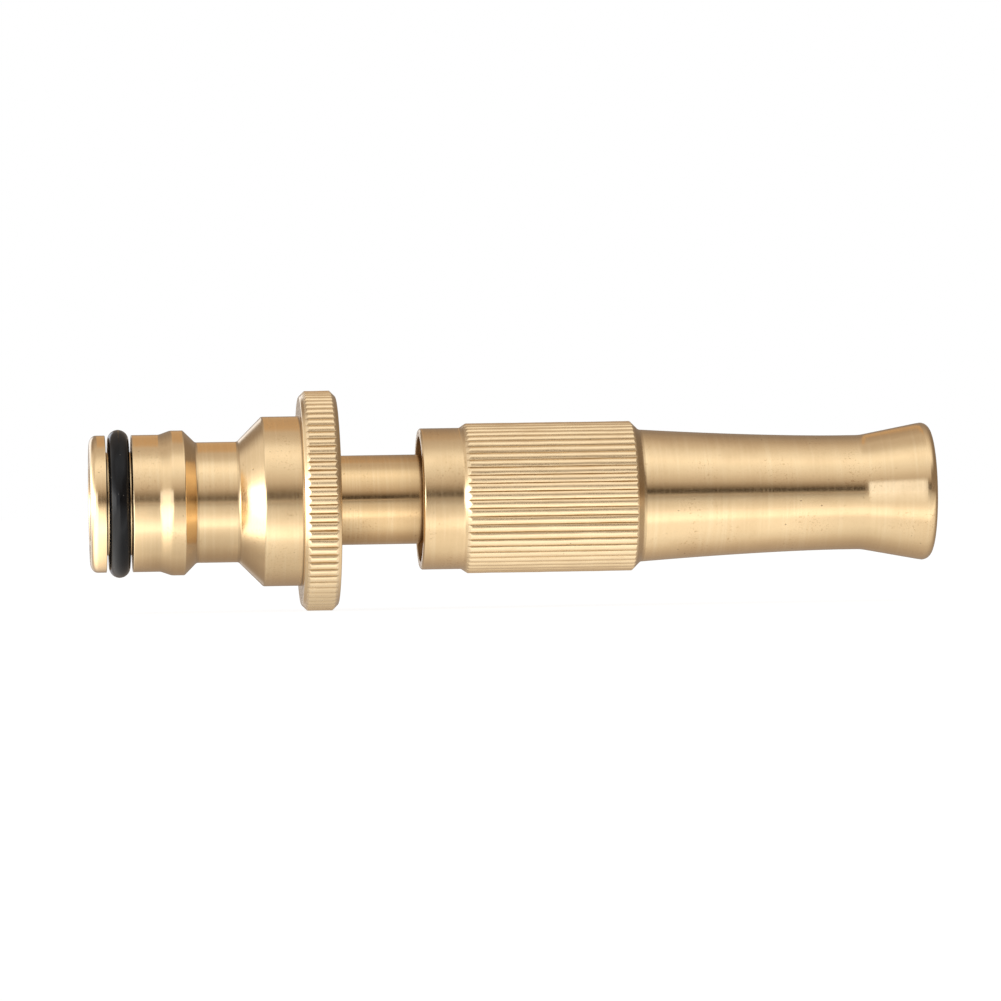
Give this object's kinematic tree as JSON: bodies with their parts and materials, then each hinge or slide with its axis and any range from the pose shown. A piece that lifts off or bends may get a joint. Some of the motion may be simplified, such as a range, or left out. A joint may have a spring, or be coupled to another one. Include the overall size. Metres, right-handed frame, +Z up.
{
  "type": "hose spray nozzle",
  "caption": "Turned brass twist nozzle for a garden hose, with a quick-connect plug, knurled hand flange, knurled adjusting barrel and flared mouth.",
  "frame": {"origin": "middle of the quick-connect plug's nose face, on the nozzle's axis, where a hose coupling takes hold of it", "axes": "+X along the axis from the plug to the flared mouth, +Z up; the nozzle is round about X"},
  "size_m": [0.0992, 0.0258, 0.0258],
  "materials": {
    "turned_brass": "satin, fine turning lines, bright edges",
    "barrel_brass": "satin, fine turning lines, straight knurl",
    "stem_brass": "smooth turned, slightly duller",
    "tip_brass": "smooth turned",
    "gland_brass": "machined, darker with handling",
    "seal_rubber": "black moulded rubber, semi-gloss with a film of grease",
    "gasket_rubber": "black cut sheet rubber, matt"
  },
  "bodies": {
    "stem_and_plug": {"quick_connect_plug": "turned_brass", "plug_o_ring": "seal_rubber", "stem_joint_gasket": "gasket_rubber", "stem_tube": "stem_brass", "stem_o_ring": "seal_rubber", "spray_tip": "tip_brass", "tip_o_ring": "seal_rubber"},
    "gland_seal": {"gland_o_ring": "seal_rubber", "gland_washer": "gland_brass"},
    "barrel": {"barrel": "barrel_brass", "gland_bush": "gland_brass"}
  },
  "joints": [
    {"name": "barrel_travel", "type": "slide", "parent": "stem_and_plug", "child": "gland_seal", "axis": [1, 0, 0], "range_m": [-0.0065, 0.0025]},
    {"name": "barrel_twist", "type": "hinge", "parent": "gland_seal", "child": "barrel", "pos_m": [0.0387, 0, 0], "axis": [1, 0, 0], "range_deg": [-936, 360]}
  ],
  "couplings": [
    {"joint": "barrel_travel", "follows": "barrel_twist", "m_per_rad": 0.00039788}
  ]
}
